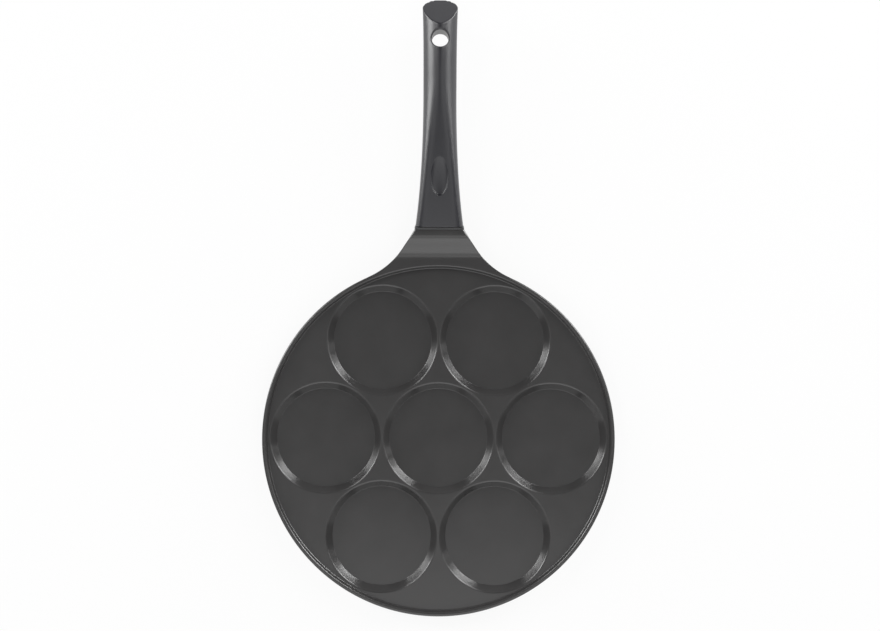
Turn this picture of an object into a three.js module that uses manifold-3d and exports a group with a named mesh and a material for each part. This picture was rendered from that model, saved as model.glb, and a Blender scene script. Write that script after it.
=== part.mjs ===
// Seven-cup pancake pan: a cast plate with seven shallow cups, a flared neck and a screwed-on handle.
// Millimetres, +Z up. The origin is the middle of the flat base, and the handle points along +Y.

import * as THREE from 'three';
import { mergeVertices } from 'three/addons/utils/BufferGeometryUtils.js';
import Module from 'manifold-3d';

const { clamp, degToRad, lerp, smootherstep, smoothstep } = THREE.MathUtils;

// Cups and plate
const CUPS_AROUND = 6;
const CUP_MOUTH_RADIUS = 40.72;
const CUP_DEPTH = 5.5;
const CUP_WALL_RUN = 4.2; // how far the sloping wall reaches in, on its way down
const CUP_MOUTH_ROUND = 1.8;
const CUP_FLOOR_FILLET = 0.5;
const CUP_LAND = 0.41; // flat plate left between two cups
const RIM_LAND = 1.06; // flat plate left between an outer cup and the rim
const FLOOR_THICKNESS = 4.5; // metal under a cup

// Rim, flank and base
const RIM_HEIGHT = 4.8; // from the plate up to the lip
const RIM_LEAN = 0.7; // how far the inner wall leans out on its way up
const RIM_THICKNESS = 3;
const RIM_ROUND = 1.3;
const RIM_FILLET = 0.8; // where the plate meets the inner wall
const RIM_BAND = 3.8; // upright band outside, under the lip
const FLANK_RUN = 18; // from the edge of the flat base out to the widest part
const BASE_GROOVES = 3;
const BASE_GROOVE_WIDTH = 2.4;
const BASE_GROOVE_DEPTH = 0.6;

// Neck
const NECK_LENGTH = 25; // from the rim to the joint, at mid height
const NECK_FLARE = degToRad(32.5); // how far each side turns away from the handle's line
const NECK_FILLET = 60; // from each side into the rim, in plan
const NECK_RISE = 9.2; // from the lip up to the crown at the joint
const NECK_APRON = 0.5; // level stretch behind the lip
const NECK_LEVEL = 1; // level stretch before the joint
const NECK_HAUNCH = 12; // past the rim, where the underside is down at the joint's level
const NECK_ROUND = 2.2; // along the neck's edges
const NECK_WALL = 4.2; // metal around the two pockets of the underside
const NECK_END_WALL = 6.5; // metal between the pockets and the joint
const NECK_RIB = 5; // metal between the two pockets
const NECK_POCKET_LENGTH = 11;
const NECK_POCKET_ROUND = 1.2;

// Joint
const JOINT_RISE = degToRad(12); // the handle leaves the neck at this slope
const JOINT_WIDTH = 35.6;
const JOINT_HEIGHT = 19.5;
const SEAT_GAP = 0.3; // between pieces that seat on one another
const SHIELD_THICKNESS = 1.2;
const SHIELD_PROUD = 0.4;
const TANG_LENGTH = 32;
const TANG_ROOT = 5; // how deep the tang starts inside the neck
const TANG_WIDTH = 18;
const TANG_ROUND = 1.5;
const TANG_COVER = 3.4; // moulding above the tang

// Handle
const HANDLE_LENGTH = 167;
const SHOULDER_SLOPE = 0.145; // how fast each side draws in at the joint
const SHOULDER_REACH = 30; // how far that slope carries
const WAIST_AT = 97; // from the joint to the narrowest place
const WAIST_WIDTH = 24.3;
const WAIST_REACH = 31; // how far the side bends before the waist
const TIP_WIDTH = 26.5;
const TIP_SLOPE = 0.055;
const TIP_REACH = 18;
const TIP_RISE = degToRad(4); // the handle arches over, down to this slope
const TIP_HEIGHT = 16.5;
const TIP_CUT = degToRad(38.5); // the slanted end, from the handle's line
const JOINT_SQUARENESS = 5; // superellipse power of the back at the joint
const TIP_SQUARENESS = 1.65; // the back is a round ridge at the tip
const RIDGE_AT = 110; // from the joint to where the ridge is whole
const BELLY_SQUARENESS = 2.6;
const TIP_BELLY_SQUARENESS = 2;
const BELLY_SHARE = 0.35; // the widest level, as a share of the height
const HANG_HOLE_RADIUS = 6.1;
const HANG_HOLE_LAND = 4.5; // between the slanted end and the hole
const HANG_HOLE_LEAN = degToRad(3); // its top leans towards the tip
const DIMPLE_LENGTH = 30;
const DIMPLE_WIDTH = 12.6;
const DIMPLE_DEPTH = 1.5;
const DIMPLE_AT = 37.8; // its middle, from the joint
const DIMPLE_PITCH = degToRad(2); // the end towards the pan is the deeper one

// Fastening
const SCREW_AT = 17; // from the joint
const SCREW_RADIUS = 2.5;
const SCREW_RECESS = 0.9; // how deep the head sits in the belly
const SCREW_HEAD_RADIUS = 4.6;
const SCREW_HEAD_HEIGHT = 2.6;
const SCREW_HEAD_ROUND = 1;
const SCREW_SEAT_WALL = 2.4; // moulding between the socket and the washers
const WASHER_RADIUS = 5.2;
const WASHER_THICKNESS = 1;
const SPRING_WASHER_RADIUS = 4.4;
const SPRING_WASHER_THICKNESS = 1.2;
const SPRING_WASHER_SPLIT = 0.8;

// Facets
const PAN_SEGMENTS = 84;
const CUP_SEGMENTS = 40;
const ARC_STEPS = 1; // a small round has twice as many edges
const FLANK_STEPS = 2;
const NECK_STATIONS = 18;
const POCKET_STATIONS = 5;
const HANDLE_STATIONS = 13; // in each of the two curves of the handle's side
const HANDLE_POINTS = 36;
const HOLE_SEGMENTS = 32;
const SMALL_SEGMENTS = 28;
const DIMPLE_SEGMENTS = [24, 14];

// Sizes worked out from the ones above
const CUP_WALL_SLOPE = Math.atan2(CUP_DEPTH, CUP_WALL_RUN);
const CUP_MOUTH_TANGENT = CUP_MOUTH_ROUND * Math.tan(CUP_WALL_SLOPE / 2);
const CUP_FLOOR_TANGENT = CUP_FLOOR_FILLET * Math.tan(CUP_WALL_SLOPE / 2);
const CUP_REACH = CUP_MOUTH_RADIUS + CUP_MOUTH_TANGENT;
const CUP_SPACING = 2 * CUP_REACH + CUP_LAND;
const CUP_RING_RADIUS = CUP_SPACING * Math.max(1, 0.5 / Math.sin(Math.PI / CUPS_AROUND));
const PLATE_RADIUS = CUP_RING_RADIUS + CUP_REACH + RIM_LAND;
const PLATE_TOP = FLOOR_THICKNESS + CUP_DEPTH;
const LIP_TOP = PLATE_TOP + RIM_HEIGHT;
const LIP_INNER_RADIUS = PLATE_RADIUS + RIM_LEAN;
const PAN_RADIUS = LIP_INNER_RADIUS + RIM_THICKNESS;
const FLANK_RISE = LIP_TOP - RIM_BAND;
const BASE_RADIUS = PAN_RADIUS - FLANK_RUN;
const BASE_GROOVE_PITCH = BASE_RADIUS / (BASE_GROOVES + 1);
const JOINT_Y = PAN_RADIUS + NECK_LENGTH;
const CROWN_TOP = LIP_TOP + NECK_RISE;
const JOINT_Z = CROWN_TOP - (JOINT_HEIGHT / 2) * Math.cos(JOINT_RISE);
const NECK_BOTTOM = CROWN_TOP - JOINT_HEIGHT * Math.cos(JOINT_RISE);
const SEAM = 2 * SEAT_GAP + SHIELD_THICKNESS; // from the neck's end to the handle's
const HEAD_BOTTOM = SCREW_RECESS - JOINT_HEIGHT / 2;
const HEAD_TOP = HEAD_BOTTOM + SCREW_HEAD_HEIGHT;
const SPRING_WASHER_BOTTOM = HEAD_TOP + SEAT_GAP;
const WASHER_BOTTOM = SPRING_WASHER_BOTTOM + SPRING_WASHER_THICKNESS + SEAT_GAP;
const WASHER_SEAT = WASHER_BOTTOM + WASHER_THICKNESS + SEAT_GAP;
const TANG_BOTTOM = WASHER_SEAT + SCREW_SEAT_WALL + SEAT_GAP;
const TANG_TOP = JOINT_HEIGHT / 2 - TANG_COVER - SEAT_GAP;
const TANG_CORNER = Math.min(TANG_ROUND, (TANG_TOP - TANG_BOTTOM) / 3);
const SCREW_HOLE_RADIUS = SCREW_RADIUS + SEAT_GAP;
const COUNTERBORE_RADIUS = WASHER_RADIUS + SEAT_GAP;
const TIP_SETBACK = TIP_HEIGHT / Math.tan(TIP_CUT); // of the slanted end, at the handle's back
const HANG_HOLE_AT = HANDLE_LENGTH - TIP_SETBACK - HANG_HOLE_LAND - HANG_HOLE_RADIUS;
const CLEAR = 60; // cutters run this far past what they cut

const wasm = await Module();
wasm.setup();

// Turning geometry into solids and back

/** Makes a solid that can be joined and cut from a closed geometry. */
function solidOf(geometry) {
  const bare = geometry.clone();
  bare.deleteAttribute('normal');
  bare.deleteAttribute('uv');
  const merged = mergeVertices(bare);
  const corners = Array.from(merged.index.array);
  const triangles = [];
  for (let i = 0; i < corners.length; i += 3) {
    const triangle = corners.slice(i, i + 3);
    const isWhole = new Set(triangle).size === 3;
    if (isWhole) triangles.push(...triangle);
  }
  return new wasm.Manifold(new wasm.Mesh({
    numProp: 3,
    vertProperties: merged.attributes.position.array,
    triVerts: new Uint32Array(triangles),
  }));
}

/** Gives a solid's surface back as a geometry. */
function geometryOf(solid) {
  const surface = solid.getMesh();
  const geometry = new THREE.BufferGeometry();
  geometry.setAttribute('position', new THREE.BufferAttribute(surface.vertProperties, 3));
  geometry.setIndex(new THREE.BufferAttribute(surface.triVerts, 1));
  geometry.computeVertexNormals();
  return geometry;
}

/** Wraps a solid as a named mesh with its own finish. */
function meshOf(name, solid, color, roughness, metalness) {
  const material = new THREE.MeshStandardMaterial({ color, roughness, metalness });
  const mesh = new THREE.Mesh(geometryOf(solid), material);
  mesh.name = name;
  return mesh;
}

// Forms

/** Revolves an outline of radius and height around the Z axis. */
function revolve(outline, segments) {
  return new THREE.LatheGeometry(outline, segments).rotateX(Math.PI / 2);
}

/** Skins rings of equal size into a closed body. Each is counter-clockwise seen from before the first. */
function loft(rings) {
  const size = rings[0].length;
  const last = (rings.length - 1) * size;
  const indices = [];
  for (let start = 0; start < last; start += size) {
    for (let i = 0; i < size; i += 1) {
      const a = start + i;
      const b = start + ((i + 1) % size);
      indices.push(a, a + size, b + size, a, b + size, b);
    }
  }
  for (let i = 1; i + 1 < size; i += 1) {
    indices.push(0, i, i + 1, last, last + i + 1, last + i);
  }
  const geometry = new THREE.BufferGeometry().setFromPoints(rings.flat());
  geometry.setIndex(indices);
  return geometry;
}

/** Extrudes an outline of x and z along the Y axis. */
function extrudeAlongY(shape, from, to) {
  const options = { depth: to - from, bevelEnabled: false, curveSegments: 2 * ARC_STEPS };
  return new THREE.ExtrudeGeometry(shape, options).rotateX(Math.PI / 2).translate(0, to, 0);
}

/** Draws a rectangle with round corners, counter-clockwise from its lower right corner. */
function roundedRectangle(left, right, bottom, top, round) {
  const outline = new THREE.Shape();
  outline.absarc(right - round, bottom + round, round, -Math.PI / 2, 0);
  outline.absarc(right - round, top - round, round, 0, Math.PI / 2);
  outline.absarc(left + round, top - round, round, Math.PI / 2, Math.PI);
  outline.absarc(left + round, bottom + round, round, Math.PI, Math.PI * 1.5);
  return outline;
}

// Pan casting

/** Draws the outside of the pan, from the middle of its grooved base to the middle of its top. */
function panOutline() {
  const outline = new THREE.Path().moveTo(0, 0);
  for (let i = 1; i <= BASE_GROOVES; i += 1) {
    const inner = i * BASE_GROOVE_PITCH;
    const outer = inner + BASE_GROOVE_WIDTH;
    outline.lineTo(inner, 0).lineTo(inner + BASE_GROOVE_DEPTH, BASE_GROOVE_DEPTH);
    outline.lineTo(outer - BASE_GROOVE_DEPTH, BASE_GROOVE_DEPTH).lineTo(outer, 0);
  }
  outline.absellipse(BASE_RADIUS, FLANK_RISE, FLANK_RUN, FLANK_RISE, -Math.PI / 2, 0);
  outline.absarc(PAN_RADIUS - RIM_ROUND, LIP_TOP - RIM_ROUND, RIM_ROUND, 0, Math.PI / 2);
  outline.lineTo(0, LIP_TOP);
  return outline.getPoints(FLANK_STEPS);
}

/** Draws the space inside the rim, from the plate up past the lip, whose inner edge is round. */
function interiorOutline() {
  const wall = Math.atan2(RIM_HEIGHT, RIM_LEAN);
  const foot = PLATE_RADIUS - RIM_FILLET * Math.tan(wall / 2);
  const edge = LIP_INNER_RADIUS + RIM_ROUND * Math.tan(wall / 2);
  const outline = new THREE.Path().moveTo(0, PLATE_TOP).lineTo(foot, PLATE_TOP);
  outline.absarc(foot, PLATE_TOP + RIM_FILLET, RIM_FILLET, -Math.PI / 2, wall - Math.PI / 2);
  outline.absarc(edge, LIP_TOP - RIM_ROUND, RIM_ROUND, wall + Math.PI / 2, Math.PI / 2, true);
  outline.lineTo(edge, LIP_TOP + CLEAR).lineTo(0, LIP_TOP + CLEAR);
  return outline.getPoints(ARC_STEPS);
}

/** Draws one cup's hollow: a flat floor, a fillet, a sloping wall and a round mouth. */
function cupOutline() {
  const slope = CUP_WALL_SLOPE;
  const floor = PLATE_TOP - CUP_DEPTH;
  const fillet = CUP_FLOOR_FILLET;
  const round = CUP_MOUTH_ROUND;
  const flat = CUP_MOUTH_RADIUS - CUP_WALL_RUN - CUP_FLOOR_TANGENT;
  const outline = new THREE.Path().moveTo(0, floor).lineTo(flat, floor);
  outline.absarc(flat, floor + fillet, fillet, -Math.PI / 2, slope - Math.PI / 2);
  outline.absarc(CUP_REACH, PLATE_TOP - round, round, slope + Math.PI / 2, Math.PI / 2, true);
  outline.lineTo(CUP_REACH, PLATE_TOP + CLEAR).lineTo(0, PLATE_TOP + CLEAR);
  return outline.getPoints(ARC_STEPS);
}

/** Places the cups: one in the middle and the others in a ring, two of them on the X axis. */
function cupCentres() {
  const centres = [new THREE.Vector3()];
  for (let i = 0; i < CUPS_AROUND; i += 1) {
    const angle = (i * 2 * Math.PI) / CUPS_AROUND;
    centres.push(new THREE.Vector3(Math.cos(angle), Math.sin(angle), 0).multiplyScalar(CUP_RING_RADIUS));
  }
  return centres;
}

/** Finds the arc that blends the neck's straight side into the rim: its middle and its two ends. */
function neckBlend() {
  const corner = new THREE.Vector2(JOINT_WIDTH / 2, JOINT_Y);
  const side = new THREE.Vector2(Math.sin(NECK_FLARE), -Math.cos(NECK_FLARE));
  const outward = new THREE.Vector2(Math.cos(NECK_FLARE), Math.sin(NECK_FLARE));
  const start = corner.clone().addScaledVector(outward, NECK_FILLET);
  const reach = PAN_RADIUS + NECK_FILLET;
  const along = -start.dot(side);
  const run = along - Math.sqrt(along ** 2 - start.lengthSq() + reach ** 2);
  const middle = start.addScaledVector(side, run);
  return { middle, sideEnd: corner.y + side.y * run, rimEnd: (middle.y * PAN_RADIUS) / reach };
}

const NECK_BLEND = neckBlend();

/** Half the neck's width at a distance from the pan's middle. */
function neckHalfWidth(y) {
  if (y >= NECK_BLEND.sideEnd) return JOINT_WIDTH / 2 + (JOINT_Y - y) * Math.tan(NECK_FLARE);
  return NECK_BLEND.middle.x - Math.sqrt(NECK_FILLET ** 2 - (y - NECK_BLEND.middle.y) ** 2);
}

/** Height of the neck's crown: level with the lip, then up in one sweep, then level to the joint. */
function neckCrown(y) {
  return LIP_TOP + NECK_RISE * smootherstep(y, PAN_RADIUS + NECK_APRON, JOINT_Y - NECK_LEVEL);
}

/** Height of the underside: it leaves the flank at its widest and swells down to the joint's level. */
function neckUnderside(y) {
  const drop = smoothstep(y, NECK_BLEND.rimEnd, PAN_RADIUS + NECK_HAUNCH);
  return lerp(FLANK_RISE, NECK_BOTTOM, drop);
}

/** Stands an outline of x and z up at a station of the neck, leaning more the nearer it is to the joint. */
function neckRing(outline, y) {
  const lean = Math.tan(JOINT_RISE) * smoothstep(y, PAN_RADIUS, JOINT_Y);
  return outline.getPoints(ARC_STEPS).map((p) => new THREE.Vector3(p.x, y - lean * (p.y - JOINT_Z), p.y));
}

/** Makes the neck as one flared web, up to the plane of the joint. */
function neckSolid() {
  const rings = [];
  for (let i = 0; i <= NECK_STATIONS; i += 1) {
    const y = lerp(NECK_BLEND.rimEnd, JOINT_Y, i / NECK_STATIONS);
    const half = neckHalfWidth(y);
    const [bottom, top] = [neckUnderside(y), neckCrown(y)];
    const round = Math.min(NECK_ROUND, (top - bottom) / 3);
    rings.push(neckRing(roundedRectangle(-half, half, bottom, top, round), y));
  }
  return solidOf(loft(rings));
}

/** Makes the hollow under one half of the neck, on the side that the sign names. */
function neckPocket(sign) {
  const end = JOINT_Y - NECK_END_WALL;
  const rings = [];
  for (let i = 0; i <= POCKET_STATIONS; i += 1) {
    const y = lerp(end - NECK_POCKET_LENGTH, end, i / POCKET_STATIONS);
    const sides = [NECK_RIB / 2, neckHalfWidth(y) - NECK_WALL].map((x) => sign * x);
    const [left, right] = sides.sort((a, b) => a - b);
    const roof = neckCrown(y) - NECK_WALL;
    rings.push(neckRing(roundedRectangle(left, right, NECK_BOTTOM - CLEAR, roof, NECK_POCKET_ROUND), y));
  }
  return solidOf(loft(rings));
}

/** Draws the tang's section in the joint's frame, grown on every side by a clearance. */
function tangSection(clearance) {
  const half = TANG_WIDTH / 2 + clearance;
  const [bottom, top] = [TANG_BOTTOM - clearance, TANG_TOP + clearance];
  return roundedRectangle(-half, half, bottom, top, TANG_CORNER + clearance);
}

/** Makes an upright cylinder between two heights, in the joint's frame, at the screw. */
function screwBore(radius, bottom, top) {
  const bore = new THREE.CylinderGeometry(radius, radius, top - bottom, SMALL_SEGMENTS);
  return solidOf(bore.rotateX(Math.PI / 2).translate(0, SEAM + SCREW_AT, (bottom + top) / 2));
}

/** Makes the tang in the joint's frame, with the hole that takes the screw. */
function tangSolid() {
  const tongue = solidOf(extrudeAlongY(tangSection(0), -TANG_ROOT, SEAM + TANG_LENGTH));
  return tongue.subtract(screwBore(SCREW_HOLE_RADIUS, TANG_BOTTOM - CLEAR, TANG_TOP + CLEAR));
}

/** Makes the whole casting: plate, cups, rim, neck and tang. */
function panCasting(jointMatrix) {
  const outside = solidOf(revolve(panOutline(), PAN_SEGMENTS)).add(neckSolid());
  let casting = outside.subtract(solidOf(revolve(interiorOutline(), PAN_SEGMENTS)));
  const cup = revolve(cupOutline(), CUP_SEGMENTS);
  for (const centre of cupCentres()) {
    casting = casting.subtract(solidOf(cup.clone().translate(centre.x, centre.y, 0)));
  }
  casting = casting.subtract(neckPocket(1)).subtract(neckPocket(-1));
  return casting.add(tangSolid().transform(jointMatrix.elements));
}

// Handle, in the joint's frame: +Y along the handle, +Z up, the origin in the middle of the neck's end

/** The line through the middle of the handle, which bends down from the joint's slope to the tip's. */
function handleSpine() {
  const half = HANDLE_LENGTH / 2;
  const fall = JOINT_RISE - TIP_RISE;
  const start = new THREE.Vector3(0, SEAM, 0);
  const bend = new THREE.Vector3(0, SEAM + half, 0);
  const end = new THREE.Vector3(0, bend.y + half * Math.cos(fall), -half * Math.sin(fall));
  return new THREE.QuadraticBezierCurve3(start, bend, end);
}

const HANDLE_SPINE = handleSpine();

/** The frame at a distance along the handle: X across it, Y along it and Z up out of its back. */
function handleFrame(distance) {
  const share = clamp(distance / HANDLE_LENGTH, 0, 1);
  const across = new THREE.Vector3(1, 0, 0);
  const along = HANDLE_SPINE.getTangentAt(share);
  const up = across.clone().cross(along);
  return new THREE.Matrix4().makeBasis(across, along, up).setPosition(HANDLE_SPINE.getPointAt(share));
}

/** The handle's height at a distance from the joint. */
function handleHeight(distance) {
  return lerp(JOINT_HEIGHT, TIP_HEIGHT, distance / HANDLE_LENGTH);
}

/** Half the handle's outline in plan, as distances from the joint and half widths. */
function handleSide() {
  const joint = JOINT_WIDTH / 2;
  const waist = WAIST_WIDTH / 2;
  const tip = TIP_WIDTH / 2;
  const shoulder = joint - SHOULDER_SLOPE * SHOULDER_REACH;
  const swellStart = (WAIST_AT + HANDLE_LENGTH) / 2;
  const swellEnd = HANDLE_LENGTH - TIP_REACH;
  const side = new THREE.Path().moveTo(0, joint);
  side.bezierCurveTo(SHOULDER_REACH, shoulder, WAIST_AT - WAIST_REACH, waist, WAIST_AT, waist);
  side.bezierCurveTo(swellStart, waist, swellEnd, tip - TIP_SLOPE * TIP_REACH, HANDLE_LENGTH, tip);
  return side.getPoints(HANDLE_STATIONS);
}

/** One section of the handle: a back that goes from square to ridged, over a flatter belly. */
function handleRing(distance, halfWidth) {
  const height = handleHeight(distance);
  const belly = height * BELLY_SHARE;
  const ridged = smoothstep(distance, 0, RIDGE_AT);
  const back = lerp(JOINT_SQUARENESS, TIP_SQUARENESS, ridged);
  const under = lerp(BELLY_SQUARENESS, TIP_BELLY_SQUARENESS, ridged);
  const frame = handleFrame(distance);
  const ring = [];
  for (let i = 0; i < HANDLE_POINTS; i += 1) {
    const angle = (i * 2 * Math.PI) / HANDLE_POINTS;
    const [across, rise] = [Math.cos(angle), Math.sin(angle)];
    const squareness = rise >= 0 ? back : under;
    const reach = rise >= 0 ? height - belly : belly;
    const power = (v) => Math.sign(v) * Math.abs(v) ** (2 / squareness);
    const point = new THREE.Vector3(halfWidth * power(across), 0, belly - height / 2 + reach * power(rise));
    ring.push(point.applyMatrix4(frame));
  }
  return ring;
}

/** The block that slants the end off, from the belly's edge at the tip back up to the handle's back. */
function tipCutter() {
  const block = new THREE.BoxGeometry(CLEAR, 2 * CLEAR, CLEAR).translate(0, 0, CLEAR / 2);
  block.rotateX(-TIP_CUT).translate(0, 0, -TIP_HEIGHT / 2);
  return solidOf(block.applyMatrix4(handleFrame(HANDLE_LENGTH)));
}

/** The round hole that the pan hangs by. */
function hangHoleCutter() {
  const hole = new THREE.CylinderGeometry(HANG_HOLE_RADIUS, HANG_HOLE_RADIUS, CLEAR, HOLE_SEGMENTS);
  return solidOf(hole.rotateX(Math.PI / 2 - HANG_HOLE_LEAN).applyMatrix4(handleFrame(HANG_HOLE_AT)));
}

/** The oval hollow for the thumb, in the handle's back. */
function dimpleCutter() {
  const oval = new THREE.SphereGeometry(1, ...DIMPLE_SEGMENTS).rotateX(Math.PI / 2);
  oval.scale(DIMPLE_WIDTH / 2, DIMPLE_LENGTH / 2, DIMPLE_DEPTH).rotateX(DIMPLE_PITCH);
  oval.translate(0, 0, handleHeight(DIMPLE_AT) / 2);
  return solidOf(oval.applyMatrix4(handleFrame(DIMPLE_AT)));
}

/** Makes the handle with its slanted end, hanging hole, thumb dimple, socket and screw pocket. */
function handleSolid() {
  const grip = solidOf(loft(handleSide().map((p) => handleRing(p.x, p.y))));
  const socket = solidOf(extrudeAlongY(tangSection(SEAT_GAP), -CLEAR, SEAM + TANG_LENGTH + SEAT_GAP));
  return grip
    .subtract(tipCutter())
    .subtract(hangHoleCutter())
    .subtract(dimpleCutter())
    .subtract(socket)
    .subtract(screwBore(SCREW_HOLE_RADIUS, -CLEAR, TANG_BOTTOM))
    .subtract(screwBore(COUNTERBORE_RADIUS, -CLEAR, WASHER_SEAT));
}

// Small pieces of the joint, in the joint's frame

/** The thin plate between neck and handle, a little proud of both, with a window for the tang. */
function heatShield() {
  const half = JOINT_WIDTH / 2 + SHIELD_PROUD;
  const rise = JOINT_HEIGHT / 2 + SHIELD_PROUD;
  const plate = roundedRectangle(-half, half, -rise, rise, NECK_ROUND + SHIELD_PROUD);
  plate.holes.push(tangSection(SEAT_GAP));
  return solidOf(extrudeAlongY(plate, SEAT_GAP, SEAT_GAP + SHIELD_THICKNESS));
}

/** The screw: a pan head below and a shank that goes up into the tang. */
function handleScrew() {
  const flat = SCREW_HEAD_RADIUS - SCREW_HEAD_ROUND;
  const outline = new THREE.Path().moveTo(0, HEAD_BOTTOM).lineTo(flat, HEAD_BOTTOM);
  outline.absarc(flat, HEAD_BOTTOM + SCREW_HEAD_ROUND, SCREW_HEAD_ROUND, -Math.PI / 2, 0);
  outline.lineTo(SCREW_HEAD_RADIUS, HEAD_TOP).lineTo(SCREW_RADIUS, HEAD_TOP);
  outline.lineTo(SCREW_RADIUS, TANG_TOP).lineTo(0, TANG_TOP);
  const screw = revolve(outline.getPoints(ARC_STEPS), SMALL_SEGMENTS);
  return solidOf(screw.translate(0, SEAM + SCREW_AT, 0));
}

/** A flat ring around the screw, from a lower level up. */
function washer(radius, bottom, thickness) {
  return screwBore(radius, bottom, bottom + thickness)
    .subtract(screwBore(SCREW_HOLE_RADIUS, bottom - CLEAR, bottom + CLEAR));
}

/** The spring washer: a ring with one narrow split. */
function springWasher() {
  const ring = washer(SPRING_WASHER_RADIUS, SPRING_WASHER_BOTTOM, SPRING_WASHER_THICKNESS);
  const split = new THREE.BoxGeometry(SPRING_WASHER_SPLIT, SPRING_WASHER_RADIUS * 2, CLEAR);
  split.translate(0, SEAM + SCREW_AT + SPRING_WASHER_RADIUS, SPRING_WASHER_BOTTOM);
  return ring.subtract(solidOf(split));
}

// Assembly

const joint = new THREE.Group();
joint.position.set(0, JOINT_Y, JOINT_Z);
joint.rotation.x = JOINT_RISE;
joint.updateMatrix();
joint.add(
  meshOf('heat_shield_plate', heatShield(), 0x1d1d1f, 0.55, 0.6),
  meshOf('handle', handleSolid(), 0x2f2f33, 0.38, 0),
  meshOf('handle_screw', handleScrew(), 0xb9bbbe, 0.3, 1),
  meshOf('spring_washer', springWasher(), 0x9d9fa3, 0.35, 1),
  meshOf('flat_washer', washer(WASHER_RADIUS, WASHER_BOTTOM, WASHER_THICKNESS), 0xb3b5b8, 0.32, 1),
);

const pan = new THREE.Group();
pan.add(meshOf('pan_casting', panCasting(joint.matrix), 0x3d3c3d, 0.5, 0.2), joint);

export default pan;
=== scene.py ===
"""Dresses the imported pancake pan: a coated casting with seven cups, a moulded handle and their joint."""

import logging
import math
from dataclasses import dataclass, field
from enum import Enum
from typing import Any, Mapping, Sequence

import bmesh
import bpy
import numpy as np
from mathutils import Matrix, Vector


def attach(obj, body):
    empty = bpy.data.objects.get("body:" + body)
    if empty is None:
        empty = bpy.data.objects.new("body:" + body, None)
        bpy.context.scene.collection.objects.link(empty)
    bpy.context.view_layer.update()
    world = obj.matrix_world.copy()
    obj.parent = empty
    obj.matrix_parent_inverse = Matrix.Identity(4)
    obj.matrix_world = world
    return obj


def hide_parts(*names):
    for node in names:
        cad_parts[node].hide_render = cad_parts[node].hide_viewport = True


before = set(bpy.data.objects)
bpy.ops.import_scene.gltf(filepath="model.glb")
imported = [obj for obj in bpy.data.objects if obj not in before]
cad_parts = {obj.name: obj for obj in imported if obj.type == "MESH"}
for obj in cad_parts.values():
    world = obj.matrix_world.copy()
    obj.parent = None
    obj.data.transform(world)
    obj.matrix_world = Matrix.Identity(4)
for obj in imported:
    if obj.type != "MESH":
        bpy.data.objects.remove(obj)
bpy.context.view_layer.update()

LOG = logging.getLogger("pancake_pan")
MM = 0.001
BODY = "root"
PHOTO_WIDTH = 880
WHITE = (1.0, 1.0, 1.0, 1.0)
QUARTER = math.pi / 2
TINY = 1e-6

Number = float | np.ndarray
Pair = tuple[float, float]
Triple = tuple[float, float, float]
Plan = list[Pair]
Ring = list[Triple]


class Slot(Enum):
    """The record's material slots."""

    CASTING = "coated_casting"
    SHIELD = "shield_steel"
    HANDLE = "handle_moulding"
    FASTENER = "fastener_steel"


class Combine(Enum):
    """How one solid acts on another."""

    JOIN = "UNION"
    CUT = "DIFFERENCE"


# Shader graphs


class Socket:
    """A shader value that takes part in Python expressions, each of which adds a Math node."""

    def __init__(self, graph: "Graph", link: bpy.types.NodeSocket) -> None:
        """Wraps one output of a node in a graph."""
        self.graph = graph
        self.link = link

    def math(self, operation: str, *values: "Socket | float") -> "Socket":
        """Adds a Math node with its inputs in order, as numbers or sockets."""
        return self.graph.node("ShaderNodeMath", {"operation": operation}, dict(enumerate(values)))["Value"]

    def __add__(self, other: "Socket | float") -> "Socket":
        """Adds a number or socket."""
        return self.math("ADD", self, other)

    def __radd__(self, other: float) -> "Socket":
        """Adds to a number."""
        return self.math("ADD", other, self)

    def __sub__(self, other: "Socket | float") -> "Socket":
        """Takes a number or socket away."""
        return self.math("SUBTRACT", self, other)

    def __rsub__(self, other: float) -> "Socket":
        """Takes this away from a number."""
        return self.math("SUBTRACT", other, self)

    def __mul__(self, other: "Socket | float") -> "Socket":
        """Multiplies by a number or socket."""
        return self.math("MULTIPLY", self, other)

    def __rmul__(self, other: float) -> "Socket":
        """Multiplies a number."""
        return self.math("MULTIPLY", other, self)

    def __lt__(self, other: "Socket | float") -> "Socket":
        """Is 1 where this is the smaller."""
        return self.math("LESS_THAN", self, other)

    def larger(self, other: "Socket | float") -> "Socket":
        """The larger of this and another value."""
        return self.math("MAXIMUM", self, other)

    def sine(self) -> "Socket":
        """The sine of an angle in radians."""
        return self.math("SINE", self)


class Node:
    """A node of a graph, whose outputs are taken by name or place."""

    def __init__(self, graph: "Graph", item: bpy.types.Node) -> None:
        """Wraps a node that a graph has made."""
        self.graph = graph
        self.item = item

    def __getitem__(self, output: str | int) -> Socket:
        """Takes one output."""
        return Socket(self.graph, self.item.outputs[output])


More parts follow.
